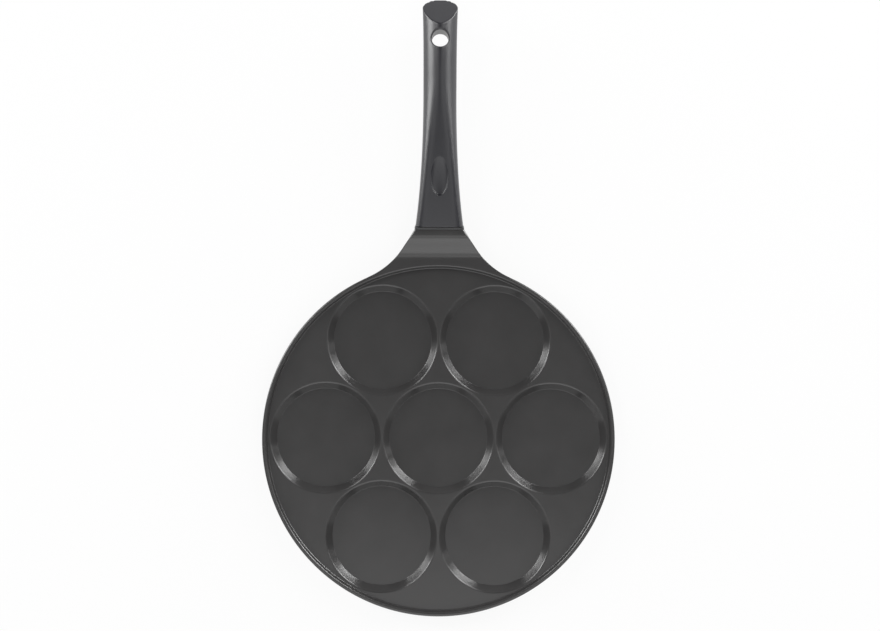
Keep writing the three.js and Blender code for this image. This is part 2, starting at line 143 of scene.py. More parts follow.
class Graph:
    """The node tree of a finish or of the world."""

    MIX_FIRST, MIX_SECOND, MIX_RESULT = 6, 7, 2

    def __init__(self, tree: bpy.types.NodeTree) -> None:
        """Takes a tree over and empties it."""
        self.tree = tree
        tree.nodes.clear()

    def node(
        self,
        kind: str,
        settings: Mapping[str, Any] | None = None,
        inputs: Mapping[str | int, Any] | None = None,
    ) -> Node:
        """Adds any node.

        Args:
            kind: The node's type.
            settings: Its settings, which are set first.
            inputs: Values or sockets for its inputs, by name or place.

        Returns:
            The node.
        """
        item = self.tree.nodes.new(kind)
        for key, value in (settings or {}).items():
            setattr(item, key, value)
        for key, value in (inputs or {}).items():
            if isinstance(value, Socket):
                self.tree.links.new(value.link, item.inputs[key])
            else:
                item.inputs[key].default_value = value
        return Node(self, item)

    def place(self) -> Socket:
        """The object's own coordinates."""
        return self.node("ShaderNodeTexCoord")["Object"]

    def scaled(self, place: Socket, factors: Triple) -> Socket:
        """Multiplies coordinates by one factor for each axis."""
        return self.node("ShaderNodeVectorMath", {"operation": "MULTIPLY"}, {0: place, 1: factors})["Vector"]

    def length(self, place: Socket) -> Socket:
        """Measures coordinates from their origin."""
        return self.node("ShaderNodeVectorMath", {"operation": "LENGTH"}, {0: place})["Value"]

    def blend(self, factor: Socket, first: Socket | Triple, second: Socket | Triple) -> Socket:
        """Mixes two colours.

        Args:
            factor: How much of the second one.
            first: A colour or socket.
            second: A colour or socket.

        Returns:
            The mixed colour.
        """
        ends = {self.MIX_FIRST: self._colour(first), self.MIX_SECOND: self._colour(second)}
        mix = self.node("ShaderNodeMix", {"data_type": "RGBA"}, {"Factor": factor, **ends})
        return mix[self.MIX_RESULT]

    @staticmethod
    def _colour(value: Socket | Triple) -> Socket | tuple[float, ...]:
        """Gives a plain colour its alpha and leaves a socket alone."""
        return value if isinstance(value, Socket) else (*value, 1.0)

    def noise(self, place: Socket, scale: float, detail: float = 3.0) -> Socket:
        """Adds noise around one half, at a scale of cells to the metre."""
        inputs = {"Vector": place, "Scale": scale, "Detail": detail}
        return self.node("ShaderNodeTexNoise", {}, inputs)["Fac"]

    def bump(self, height: Socket, strength: float, depth_mm: float) -> Socket:
        """Turns a height from 0 to 1 into a normal; 1 stands for a depth in millimetres."""
        inputs = {"Strength": strength, "Distance": depth_mm * MM, "Height": height}
        return self.node("ShaderNodeBump", {}, inputs)["Normal"]

    def surface(self, shader: Socket) -> None:
        """Ends the tree with a shader."""
        self.node("ShaderNodeOutputMaterial", {}, {"Surface": shader})

    def principled(self, inputs: Mapping[str, Any]) -> None:
        """Ends the tree with a Principled shader that has these inputs."""
        self.surface(self.node("ShaderNodeBsdfPrincipled", {}, inputs)["BSDF"])


def fresh_graph(name: str) -> tuple[bpy.types.Material, Graph]:
    """Makes an empty node material.

    Args:
        name: The material's name.

    Returns:
        The material and its graph.
    """
    material = bpy.data.materials.new(name)
    material.use_nodes = True
    return material, Graph(material.node_tree)


# Finishes


@dataclass(frozen=True)
class NonStickCoat:
    """The dark coat on the casting, with the bare turned metal of its base."""

    colour: Triple = (0.032, 0.031, 0.031)
    pale: Triple = (0.041, 0.04, 0.04)
    roughness: float = 0.21
    ior: float = 1.6
    mottle_scale: float = 45.0
    mottle_detail: float = 4.0
    mottle_spread: float = 0.12
    grain_scale: float = 1400.0
    grain_detail: float = 2.0
    grain_spread: float = 0.08
    peel_scale: float = 260.0
    metal: Triple = (0.62, 0.62, 0.63)
    metal_roughness: float = 0.34
    metal_spread: float = 0.12
    turned_below: float = 0.12
    turned_pitch: float = 0.9
    relief_strength: float = 0.35
    relief_depth: float = 0.03

    def material(self) -> bpy.types.Material:
        """Builds the node material.

        Returns:
            The finished material.
        """
        material, graph = fresh_graph("non_stick_coat")
        place = graph.place()
        height = graph.node("ShaderNodeSeparateXYZ", {}, {"Vector": place})["Z"]
        radius = graph.length(graph.scaled(place, (1.0, 1.0, 0.0)))
        turned = height < self.turned_below * MM
        coated = 1 - turned
        mottle = graph.noise(place, self.mottle_scale, self.mottle_detail)
        grain = graph.noise(place, self.grain_scale, self.grain_detail)
        peel = graph.noise(place, self.peel_scale, self.grain_detail)
        marks = (radius * (2 * math.pi / (self.turned_pitch * MM))).sine() * 0.5 + 0.5
        satin = self.roughness + (mottle - 0.5) * self.mottle_spread + (grain - 0.5) * self.grain_spread
        bare = self.metal_roughness + (marks - 0.5) * self.metal_spread
        relief = coated * (grain * 0.5 + peel * 0.5) + turned * marks
        graph.principled({
            "Base Color": graph.blend(turned, graph.blend(mottle, self.colour, self.pale), self.metal),
            "Metallic": turned,
            "Roughness": coated * satin + turned * bare,
            "IOR": self.ior,
            "Normal": graph.bump(relief, self.relief_strength, self.relief_depth),
        })
        return material


@dataclass(frozen=True)
class PhenolicMoulding:
    """The satin black of the handle."""

    colour: Triple = (0.011, 0.011, 0.015)
    pale: Triple = (0.017, 0.017, 0.021)
    roughness: float = 0.34
    ior: float = 1.68
    cloud_scale: float = 60.0
    cloud_spread: float = 0.1
    grain_scale: float = 1700.0
    grain_detail: float = 2.0
    grain_spread: float = 0.06
    grain_strength: float = 0.2
    grain_depth: float = 0.02

    def material(self) -> bpy.types.Material:
        """Builds the node material.

        Returns:
            The finished material.
        """
        material, graph = fresh_graph("phenolic_moulding")
        place = graph.place()
        cloud = graph.noise(place, self.cloud_scale)
        grain = graph.noise(place, self.grain_scale, self.grain_detail)
        satin = self.roughness + (cloud - 0.5) * self.cloud_spread + (grain - 0.5) * self.grain_spread
        graph.principled({
            "Base Color": graph.blend(cloud, self.colour, self.pale),
            "Roughness": satin,
            "IOR": self.ior,
            "Normal": graph.bump(grain, self.grain_strength, self.grain_depth),
        })
        return material


@dataclass(frozen=True)
class PlainSteel:
    """Rolled or turned steel, bare or blackened, with fine marks along one axis."""

    name: str
    colour: Triple
    roughness: float
    metallic: float = 1.0
    dullness: float = 0.75
    stain_scale: float = 220.0
    mark_scale: float = 75.0
    mark_stretch: Triple = (1.0, 12.0, 12.0)
    mark_spread: float = 0.2
    mark_strength: float = 0.15
    mark_depth: float = 0.02

    def material(self) -> bpy.types.Material:
        """Builds the node material.

        Returns:
            The finished material.
        """
        material, graph = fresh_graph(self.name)
        place = graph.place()
        marks = graph.noise(graph.scaled(place, self.mark_stretch), self.mark_scale)
        stain = graph.noise(place, self.stain_scale)
        red, green, blue = (self.dullness * channel for channel in self.colour)
        graph.principled({
            "Base Color": graph.blend(stain, (red, green, blue), self.colour),
            "Metallic": self.metallic,
            "Roughness": self.roughness + (marks - 0.5) * self.mark_spread,
            "Normal": graph.bump(marks, self.mark_strength, self.mark_depth),
        })
        return material


# Solids


def linked(name: str, data: bpy.types.ID) -> bpy.types.Object:
    """Puts data into the scene.

    Args:
        name: The object's name.
        data: A mesh, lamp or camera.

    Returns:
        The new object.
    """
    item = bpy.data.objects.new(name, data)
    bpy.context.scene.collection.objects.link(item)
    return item


def settled_mesh(item: bpy.types.Object) -> bpy.types.Mesh:
    """Makes a mesh of an object with its modifiers at work."""
    settled = item.evaluated_get(bpy.context.evaluated_depsgraph_get())
    return bpy.data.meshes.new_from_object(settled)


class Outline:
    """A profile drawn point by point: radius and height, or across and up."""

    def __init__(self, first: float, second: float) -> None:
        """Starts the profile at a point."""
        self.points: Plan = [(first, second)]

    def line(self, first: float, second: float) -> "Outline":
        """Draws a straight line to a point."""
        self.points.append((first, second))
        return self

    def arc(self, centre: Pair, reach: Pair, span: Pair, steps: int) -> "Outline":
        """Draws an arc of an ellipse, joined to the last point by a line if they differ.

        Args:
            centre: The arc's middle.
            reach: Its two radii.
            span: Its first and last angle, in radians.
            steps: How many edges it has.

        Returns:
            The outline itself.
        """
        for i in range(steps + 1):
            angle = span[0] + (span[1] - span[0]) * i / steps
            across, up = reach[0] * math.cos(angle), reach[1] * math.sin(angle)
            self.points.append((centre[0] + across, centre[1] + up))
        return self

    def bend(self, centre: Pair, radius: float, span: Pair, steps: int) -> "Outline":
        """Draws an arc of a circle."""
        return self.arc(centre, (radius, radius), span, steps)


def rounded_rectangle(across: Pair, up: Pair, corner: float, steps: int) -> Plan:
    """Draws a rectangle with round corners, counter-clockwise from its lower right corner.

    Args:
        across: Its left and right side.
        up: Its lower and upper side.
        corner: The corner radius.
        steps: How many edges a corner has.

    Returns:
        The corner points.
    """
    left, right = across[0] + corner, across[1] - corner
    bottom, top = up[0] + corner, up[1] - corner
    points: Plan = []
    for turn, (x, z) in enumerate(((right, bottom), (right, top), (left, top), (left, bottom))):
        for i in range(steps + 1):
            angle = (turn - 1 + i / steps) * QUARTER
            points.append((x + corner * math.cos(angle), z + corner * math.sin(angle)))
    return points


def fitting_round(wanted: float, thickness: float) -> float:
    """Holds a corner radius to a third of the thickness that it is on."""
    return min(wanted, thickness / 3)


def standing(section: Plan, y: float) -> Ring:
    """Stands a section of x and z up at a distance y."""
    return [(x, y, z) for x, z in section]


@dataclass
class Shape:
    """Corner points and faces, before they become a mesh."""

    vertices: Ring = field(default_factory=list)
    faces: list[tuple[int, ...]] = field(default_factory=list)

    @classmethod
    def skinned(cls, rings: Sequence[Ring], looped: bool = False, capped: bool = True) -> "Shape":
        """Skins rings of equal size.

        Args:
            rings: The rings in order.
            looped: Whether the last ring joins the first.
            capped: Whether the end rings are closed by a face.

        Returns:
            The skin.
        """
        size = len(rings[0])
        shape = cls([point for ring in rings for point in ring])
        for k in range(len(rings) if looped else len(rings) - 1):
            near, far = k * size, (k + 1) % len(rings) * size
            for i in range(size):
                j = (i + 1) % size
                shape.faces.append((near + i, near + j, far + j, far + i))
        if capped and not looped:
            last = (len(rings) - 1) * size
            shape.faces.append(tuple(range(size)))
            shape.faces.append(tuple(range(last, last + size)))
        return shape

    @classmethod
    def revolved(cls, outline: Outline, segments: int, looped: bool = False) -> "Shape":
        """Revolves an outline of radius and height about the Z axis.

        Args:
            outline: The outline, whose ends are left open unless it is looped.
            segments: How many segments go round.
            looped: Whether the outline is closed in itself.

        Returns:
            The turned skin.
        """
        turns = [2 * math.pi * i / segments for i in range(segments)]
        rings = [[(r * math.cos(a), r * math.sin(a), z) for a in turns] for r, z in outline.points]
        return cls.skinned(rings, looped, capped=False)

    def moved(self, x: float, y: float, z: float = 0.0) -> "Shape":
        """Gives a copy that is moved by x, y and z."""
        return Shape([(a + x, b + y, c + z) for a, b, c in self.vertices], list(self.faces))

    def plus(self, other: "Shape") -> "Shape":
        """Puts two shapes together.

        Args:
            other: The shape to add.

        Returns:
            Both shapes as one.
        """
        start = len(self.vertices)
        faces = [tuple(i + start for i in face) for face in other.faces]
        return Shape(self.vertices + other.vertices, self.faces + faces)

    def mesh(self, name: str) -> bpy.types.Mesh:
        """Turns the shape into a mesh.

        Args:
            name: The mesh's name.

        Returns:
            The mesh, as it was drawn.
        """
        mesh = bpy.data.meshes.new(name)
        mesh.from_pydata(self.vertices, [], self.faces)
        return mesh


class Solid:
    """A closed body in millimetres that can be joined to another or cut by it."""

    WELD = 1e-4

    def __init__(self, shape: Shape) -> None:
        """Welds a shape into a closed mesh with its faces outward.

        Args:
            shape: The shape.
        """
        mesh = shape.mesh("solid")
        work = bmesh.new()
        work.from_mesh(mesh)
        bmesh.ops.remove_doubles(work, verts=work.verts, dist=self.WELD)
        bmesh.ops.dissolve_degenerate(work, edges=work.edges, dist=self.WELD)
        bmesh.ops.recalc_face_normals(work, faces=work.faces)
        work.to_mesh(mesh)
        work.free()
        self.item = linked("solid", mesh)

    def placed(self, matrix: Matrix) -> "Solid":
        """Moves the body."""
        self.item.data.transform(matrix)
        return self

    def __or__(self, tool: "Solid") -> "Solid":
        """Joins another body to this one and uses it up."""
        return self._combined(tool, Combine.JOIN)

    def __sub__(self, tool: "Solid") -> "Solid":
        """Cuts another body out of this one and uses it up."""
        return self._combined(tool, Combine.CUT)

    def _combined(self, tool: "Solid", how: Combine) -> "Solid":
        """Works one body into another.

        Args:
            tool: The other body, which is removed afterwards.
            how: Whether it is joined or cut out.

        Returns:
            This body, changed.
        """
        step = self.item.modifiers.new(how.name, "BOOLEAN")
        step.operation = how.value
        step.solver = "EXACT"
        step.object = tool.item
        worked = settled_mesh(self.item)
        self.item.modifiers.clear()
        spent = [self.item.data, tool.item.data]
        self.item.data = worked
        bpy.data.objects.remove(tool.item)
        for mesh in spent:
            bpy.data.meshes.remove(mesh)
        return self

    def piece(self, name: str, crease: float) -> bpy.types.Object:
        """Turns the body into a smooth piece in metres.

        Args:
            name: The piece's name.
            crease: Edges that turn by more than this many degrees stay sharp.

        Returns:
            The piece.
        """
        mesh = self.item.data
        mesh.transform(Matrix.Scale(MM, 4))
        mesh.name = self.item.name = name
        mesh.shade_smooth()
        mesh.set_sharp_from_angle(angle=math.radians(crease))
        weigh = self.item.modifiers.new("weighted_normals", "WEIGHTED_NORMAL")
        weigh.keep_sharp = True
        return self.item


def dressed(piece: bpy.types.Object, node: str, material: bpy.types.Material) -> bpy.types.Object:
    """Gives a piece its finish and its body, and hides the frame's part for the node that it stands for.

    Args:
        piece: The piece.
        node: The node of the frame that it replaces.
        material: The finish.

    Returns:
        The piece.
    """
    piece.data.materials.clear()
    piece.data.materials.append(material)
    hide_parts(node)
    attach(piece, BODY)
    LOG.info("%s: %d faces in %s", piece.name, len(piece.data.polygons), material.name)
    return piece


def share_between(value: Number, low: float, high: float) -> Number:
    """How far a value has come from low to high, from 0 to 1."""
    return np.clip((value - low) / (high - low), 0.0, 1.0)


def smooth_step(value: Number, low: float, high: float) -> Number:
    """Goes from 0 at low to 1 at high without a corner."""
    share = share_between(value, low, high)
    return share * share * (3 - 2 * share)


def smoother_step(value: Number, low: float, high: float) -> Number:
    """Goes from 0 at low to 1 at high without a corner or a sudden bend."""
    share = share_between(value, low, high)
    return share**3 * (10 - 15 * share + 6 * share * share)


# The object's own sizes, in millimetres


@dataclass(frozen=True)
class PlateSizes:
    """The round plate with its cups, rim and base."""

    cups_around: int = 6
    cup_mouth_radius: float = 40.72
    cup_depth: float = 5.5
    cup_wall_run: float = 4.2
    cup_mouth_round: float = 1.8
    cup_floor_fillet: float = 0.5
    cup_land: float = 0.41
    rim_land: float = 1.06
    floor_thickness: float = 4.5
    rim_height: float = 4.8
    rim_lean: float = 0.7
    rim_thickness: float = 3.0
    rim_round: float = 1.3
    rim_fillet: float = 0.8
    rim_band: float = 3.8
    flank_run: float = 18.0
    base_grooves: int = 3
    base_groove_width: float = 2.4
    base_groove_depth: float = 0.6

    @property
    def cup_slope(self) -> float:
        """The slope of a cup's wall."""
        return math.atan2(self.cup_depth, self.cup_wall_run)

    @property
    def cup_reach(self) -> float:
        """From a cup's middle to where its round mouth meets the plate."""
        return self.cup_mouth_radius + self.cup_mouth_round * math.tan(self.cup_slope / 2)

    @property
    def cup_ring_radius(self) -> float:
        """From the pan's middle to the middle of an outer cup."""
        return 2 * self.cup_reach + self.cup_land

    @property
    def plate_radius(self) -> float:
        """The foot of the rim's inner wall."""
        return self.cup_ring_radius + self.cup_reach + self.rim_land

    @property
    def plate_top(self) -> float:
        """The plate's level."""
        return self.floor_thickness + self.cup_depth

    @property
    def lip_top(self) -> float:
        """The lip's level."""
        return self.plate_top + self.rim_height

    @property
    def pan_radius(self) -> float:
        """The widest part of the rim."""
        return self.plate_radius + self.rim_lean + self.rim_thickness

    @property
    def flank_rise(self) -> float:
        """Where the rounded flank becomes upright."""
        return self.lip_top - self.rim_band

    @property
    def base_radius(self) -> float:
        """The edge of the flat base."""
        return self.pan_radius - self.flank_run


@dataclass(frozen=True)
class JointSizes:
    """The joint of neck and handle; its frame has +Y along the handle and +Z up."""

    plate: PlateSizes
    neck_length: float = 25.0
    neck_rise: float = 9.2
    rise: float = math.radians(12.0)
    width: float = 35.6
    height: float = 19.5
    gap: float = 0.3
    shield_thickness: float = 1.2
    shield_proud: float = 0.4
    tang_length: float = 32.0
    tang_root: float = 5.0
    tang_width: float = 18.0
    tang_round: float = 1.5
    tang_cover: float = 3.4
    screw_at: float = 17.0
    screw_radius: float = 2.5
    screw_recess: float = 0.9
    head_radius: float = 4.6
    head_height: float = 2.6
    seat_wall: float = 2.4
    washer_radius: float = 5.2
    washer_thickness: float = 1.0
    spring_radius: float = 4.4
    spring_thickness: float = 1.2
    spring_split: float = 0.8

    @property
    def y(self) -> float:
        """From the pan's middle to the joint."""
        return self.plate.pan_radius + self.neck_length

    @property
    def crown_top(self) -> float:
        """The neck's crown at the joint."""
        return self.plate.lip_top + self.neck_rise

    @property
    def z(self) -> float:
        """The joint's middle level."""
        return self.crown_top - self.height / 2 * math.cos(self.rise)

    @property
    def neck_bottom(self) -> float:
        """The neck's underside at the joint."""
        return self.crown_top - self.height * math.cos(self.rise)

    @property
    def matrix(self) -> Matrix:
        """From the joint's frame to the pan's."""
        return Matrix.Translation((0.0, self.y, self.z)) @ Matrix.Rotation(self.rise, 4, "X")

    @property
    def seam(self) -> float:
        """From the neck's end to the handle's."""
        return 2 * self.gap + self.shield_thickness

    @property
    def screw_y(self) -> float:
        """The screw's axis."""
        return self.seam + self.screw_at

    @property
    def head_bottom(self) -> float:
        """The face of the screw's head."""
        return self.screw_recess - self.height / 2

    @property
    def head_top(self) -> float:
        """The underside of the screw's head, towards the washers."""
        return self.head_bottom + self.head_height

    @property
    def spring_bottom(self) -> float:
        """The lower face of the spring washer."""
        return self.head_top + self.gap

    @property
    def washer_bottom(self) -> float:
        """The lower face of the flat washer."""
        return self.spring_bottom + self.spring_thickness + self.gap

    @property
    def washer_seat(self) -> float:
        """The face in the handle that the flat washer presses on."""
        return self.washer_bottom + self.washer_thickness + self.gap

    @property
    def tang_bottom(self) -> float:
        """The tang's lower face."""
        return self.washer_seat + self.seat_wall + self.gap

    @property
    def tang_top(self) -> float:
        """The tang's upper face."""
        return self.height / 2 - self.tang_cover - self.gap

    @property
    def tang_corner(self) -> float:
        """The tang's corner radius."""
        return fitting_round(self.tang_round, self.tang_top - self.tang_bottom)

    @property
    def screw_hole(self) -> float:
        """The radius of the holes that clear the screw."""
        return self.screw_radius + self.gap

    @property
    def counterbore(self) -> float:
        """The radius of the pocket for head and washers."""
        return self.washer_radius + self.gap


# Pan casting


@dataclass
class PanCasting:
    """Plate, cups, rim, flank, neck and tang, cast in one and coated."""

    plate: PlateSizes
    joint: JointSizes
    finish: NonStickCoat = field(default_factory=NonStickCoat)
    neck_flare: float = math.radians(32.5)
    neck_fillet: float = 60.0
    neck_apron: float = 0.5
    neck_level: float = 1.0
    neck_haunch: float = 12.0
    neck_round: float = 0.7
    neck_wall: float = 4.2
    neck_end_wall: float = 6.5
    neck_rib: float = 5.0
    pocket_length: float = 11.0
    pocket_round: float = 1.2
    pan_segments: int = 288
    cup_segments: int = 144
    bore_segments: int = 48
    arc_steps: int = 8
    flank_steps: int = 24
    neck_stations: int = 72
    pocket_stations: int = 16
    clear: float = 60.0
    crease: float = 32.0

    def __post_init__(self) -> None:
        """Finds the arc that blends the neck's straight side into the rim."""
        side = Vector((math.sin(self.neck_flare), -math.cos(self.neck_flare)))
        outward = Vector((math.cos(self.neck_flare), math.sin(self.neck_flare)))
        corner = Vector((self.joint.width / 2, self.joint.y))
        start = corner + self.neck_fillet * outward
        reach = self.plate.pan_radius + self.neck_fillet
        along = -start.dot(side)
        run = along - math.sqrt(along**2 - start.length_squared + reach**2)
        self.blend_middle = start + run * side
        self.side_end = corner.y + side.y * run
        self.rim_end = self.blend_middle.y * self.plate.pan_radius / reach

    def outside(self) -> Outline:
        """Draws the outside of the pan.

        Returns:
            The outline, from the middle of the grooved base to the middle of the top.
        """
        plate = self.plate
        outline = Outline(0.0, 0.0)
        for i in range(1, plate.base_grooves + 1):
            inner = i * plate.base_radius / (plate.base_grooves + 1)
            outer = inner + plate.base_groove_width
            depth = plate.base_groove_depth
            outline.line(inner, 0.0).line(inner + depth, depth).line(outer - depth, depth).line(outer, 0.0)
        flank = (plate.flank_run, plate.flank_rise)
        outline.arc((plate.base_radius, plate.flank_rise), flank, (-QUARTER, 0.0), self.flank_steps)
        lip = (plate.pan_radius - plate.rim_round, plate.lip_top - plate.rim_round)
        outline.bend(lip, plate.rim_round, (0.0, QUARTER), self.arc_steps)
        return outline.line(0.0, plate.lip_top)

    def hollow(self, foot: Pair, fillet: float, slope: float, lip: Pair, lip_round: float) -> Outline:
        """Draws a hollow: a flat floor, a fillet, a sloping wall, a round lip and the open space above.

        Args:
            foot: Where the flat floor ends, as radius and height.
            fillet: The fillet's radius.
            slope: The wall's slope, in radians.
            lip: Where the round lip meets the level above, as radius and height.
            lip_round: The lip's radius.

        Returns:
            The outline, from the middle of the floor to the middle of the space above.
        """
        flat, floor = foot
        edge, top = lip
        outline = Outline(0.0, floor).line(flat, floor)
        outline.bend((flat, floor + fillet), fillet, (-QUARTER, slope - QUARTER), self.arc_steps)
        outline.bend((edge, top - lip_round), lip_round, (slope + QUARTER, QUARTER), self.arc_steps)
        return outline.line(edge, top + self.clear).line(0.0, top + self.clear)

    def interior(self) -> Outline:
        """Draws the space inside the rim.

        Returns:
            The outline, from the plate up past the lip.
        """
        plate = self.plate
        wall = math.atan2(plate.rim_height, plate.rim_lean)
        flat = plate.plate_radius - plate.rim_fillet * math.tan(wall / 2)
        edge = plate.plate_radius + plate.rim_lean + plate.rim_round * math.tan(wall / 2)
        foot, lip = (flat, plate.plate_top), (edge, plate.lip_top)
        return self.hollow(foot, plate.rim_fillet, wall, lip, plate.rim_round)

    def cup(self) -> Outline:
        """Draws one cup.

        Returns:
            The outline, from the cup's floor up past the plate.
        """
        plate, slope = self.plate, self.plate.cup_slope
        flat = plate.cup_mouth_radius - plate.cup_wall_run - plate.cup_floor_fillet * math.tan(slope / 2)
        foot, mouth = (flat, plate.floor_thickness), (plate.cup_reach, plate.plate_top)
        return self.hollow(foot, plate.cup_floor_fillet, slope, mouth, plate.cup_mouth_round)

    def cups(self) -> Shape:
        """Sets the cups: one in the middle and the others in a ring, two of them on the X axis.

        Returns:
            All the hollows.
        """
        middle = Shape.revolved(self.cup(), self.cup_segments)
        cups = middle
        for i in range(self.plate.cups_around):
            angle = 2 * math.pi * i / self.plate.cups_around
            out = self.plate.cup_ring_radius
            cups = cups.plus(middle.moved(out * math.cos(angle), out * math.sin(angle)))
        return cups

    def neck_half_width(self, y: float) -> float:
        """Measures half the neck's width.

        Args:
            y: The distance from the pan's middle.

        Returns:
            The half width, on the straight side or on the arc that blends it into the rim.
        """
        if y >= self.side_end:
            return self.joint.width / 2 + (self.joint.y - y) * math.tan(self.neck_flare)
        drop = y - self.blend_middle.y
        return self.blend_middle.x - math.sqrt(self.neck_fillet**2 - drop**2)

    def neck_crown(self, y: float) -> float:
        """Height of the neck's crown: level with the lip, up in one sweep, then level to the joint."""
        start, end = self.plate.pan_radius + self.neck_apron, self.joint.y - self.neck_level
        return self.plate.lip_top + self.joint.neck_rise * smoother_step(y, start, end)

    def neck_underside(self, y: float) -> float:
        """Height of the underside: it leaves the flank at its widest and swells down to the joint."""
        drop = smooth_step(y, self.rim_end, self.plate.pan_radius + self.neck_haunch)
        return self.plate.flank_rise + (self.joint.neck_bottom - self.plate.flank_rise) * drop

    def neck_ring(self, section: Plan, y: float) -> Ring:
        """Stands a section of x and z up at a station, leaning more the nearer it is to the joint."""
        lean = math.tan(self.joint.rise) * smooth_step(y, self.plate.pan_radius, self.joint.y)
        return [(x, y - lean * (z - self.joint.z), z) for x, z in section]

    def neck(self) -> Shape:
        """Skins the neck.

        Returns:
            One flared web from the rim to the plane of the joint.
        """
        rings = []
        for i in range(self.neck_stations + 1):
            y = self.rim_end + (self.joint.y - self.rim_end) * i / self.neck_stations
            half, bottom, top = self.neck_half_width(y), self.neck_underside(y), self.neck_crown(y)
            edge = fitting_round(self.neck_round, top - bottom)
            section = rounded_rectangle((-half, half), (bottom, top), edge, self.arc_steps)
            rings.append(self.neck_ring(section, y))
        return Shape.skinned(rings)

    def neck_pocket(self, sign: int) -> Shape:
        """Skins the hollow under one half of the neck.

        Args:
            sign: 1 for the right half, -1 for the left.

        Returns:
            The hollow, open below.
        """
        end = self.joint.y - self.neck_end_wall
        below = self.joint.neck_bottom - self.clear
        rings = []
        for i in range(self.pocket_stations + 1):
            y = end - self.pocket_length * (1 - i / self.pocket_stations)
            side = self.neck_half_width(y) - self.neck_wall
            left, right = sorted((sign * self.neck_rib / 2, sign * side))
            roof = self.neck_crown(y) - self.neck_wall
            section = rounded_rectangle((left, right), (below, roof), self.pocket_round, self.arc_steps)
            rings.append(self.neck_ring(section, y))
        return Shape.skinned(rings)

    def tang(self) -> Solid:
        """Makes the tang with the hole that takes the screw.

        Returns:
            The tang, in the joint's frame.
        """
        joint = self.joint
        across, up = (-joint.tang_width / 2, joint.tang_width / 2), (joint.tang_bottom, joint.tang_top)
        section = rounded_rectangle(across, up, joint.tang_corner, self.arc_steps)
        ends = (-joint.tang_root, joint.seam + joint.tang_length)
        tongue = Solid(Shape.skinned([standing(section, y) for y in ends]))
        bore = Outline(0.0, -self.clear).line(joint.screw_hole, -self.clear)
        bore.line(joint.screw_hole, self.clear).line(0.0, self.clear)
        return tongue - Solid(Shape.revolved(bore, self.bore_segments).moved(0.0, joint.screw_y))

    def build(self) -> bpy.types.Object:
        """Makes and dresses the casting.

        Returns:
            The piece.
        """
        casting = Solid(Shape.revolved(self.outside(), self.pan_segments)) | Solid(self.neck())
        casting = casting - Solid(Shape.revolved(self.interior(), self.pan_segments))
        casting = casting - Solid(self.cups())
        casting = casting - Solid(self.neck_pocket(1).plus(self.neck_pocket(-1)))
        casting = casting | self.tang().placed(self.joint.matrix)
        piece = casting.piece("pan_body", self.crease)
        return dressed(piece, "pan_casting", self.finish.material())


# Handle


def smooth_max(first: np.ndarray, second: np.ndarray, width: float) -> np.ndarray:
    """The larger of two levels, with the corner between them rounded over a band."""
    overlap = np.maximum(width - np.abs(first - second), 0.0)
    return np.maximum(first, second) + overlap**2 / (4 * width)


